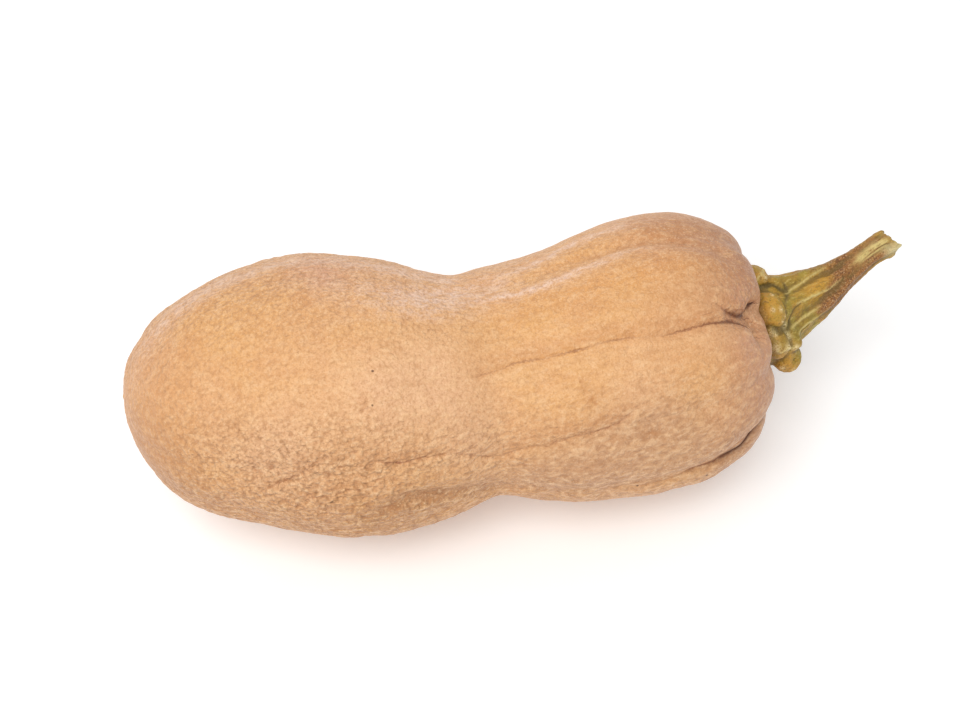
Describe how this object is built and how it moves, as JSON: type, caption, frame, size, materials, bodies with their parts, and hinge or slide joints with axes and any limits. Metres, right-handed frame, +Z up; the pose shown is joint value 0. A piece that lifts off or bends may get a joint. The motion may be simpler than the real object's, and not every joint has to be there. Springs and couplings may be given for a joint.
{
  "type": "butternut squash",
  "caption": "Whole butternut squash lying on its side: ribbed pear-like fruit with a round bulb, a waist and a stem-end shoulder, and its ridged, knobbed, cut stem.",
  "frame": {"origin": "on the surface that the squash rests on, below the middle of its bounding box", "axes": "+X from the blossom end towards the stem, +Z up, the waist bends towards -Y"},
  "size_m": [0.2982, 0.1114, 0.1073],
  "materials": {
    "fruit_skin": "satin, peach-tan skin with a pebbled, wrinkled surface",
    "stem_wood": "matt, olive-yellow corky stem with brown patches"
  },
  "bodies": {
    "root": {"fruit": "fruit_skin", "stem": "stem_wood"}
  },
  "joints": []
}
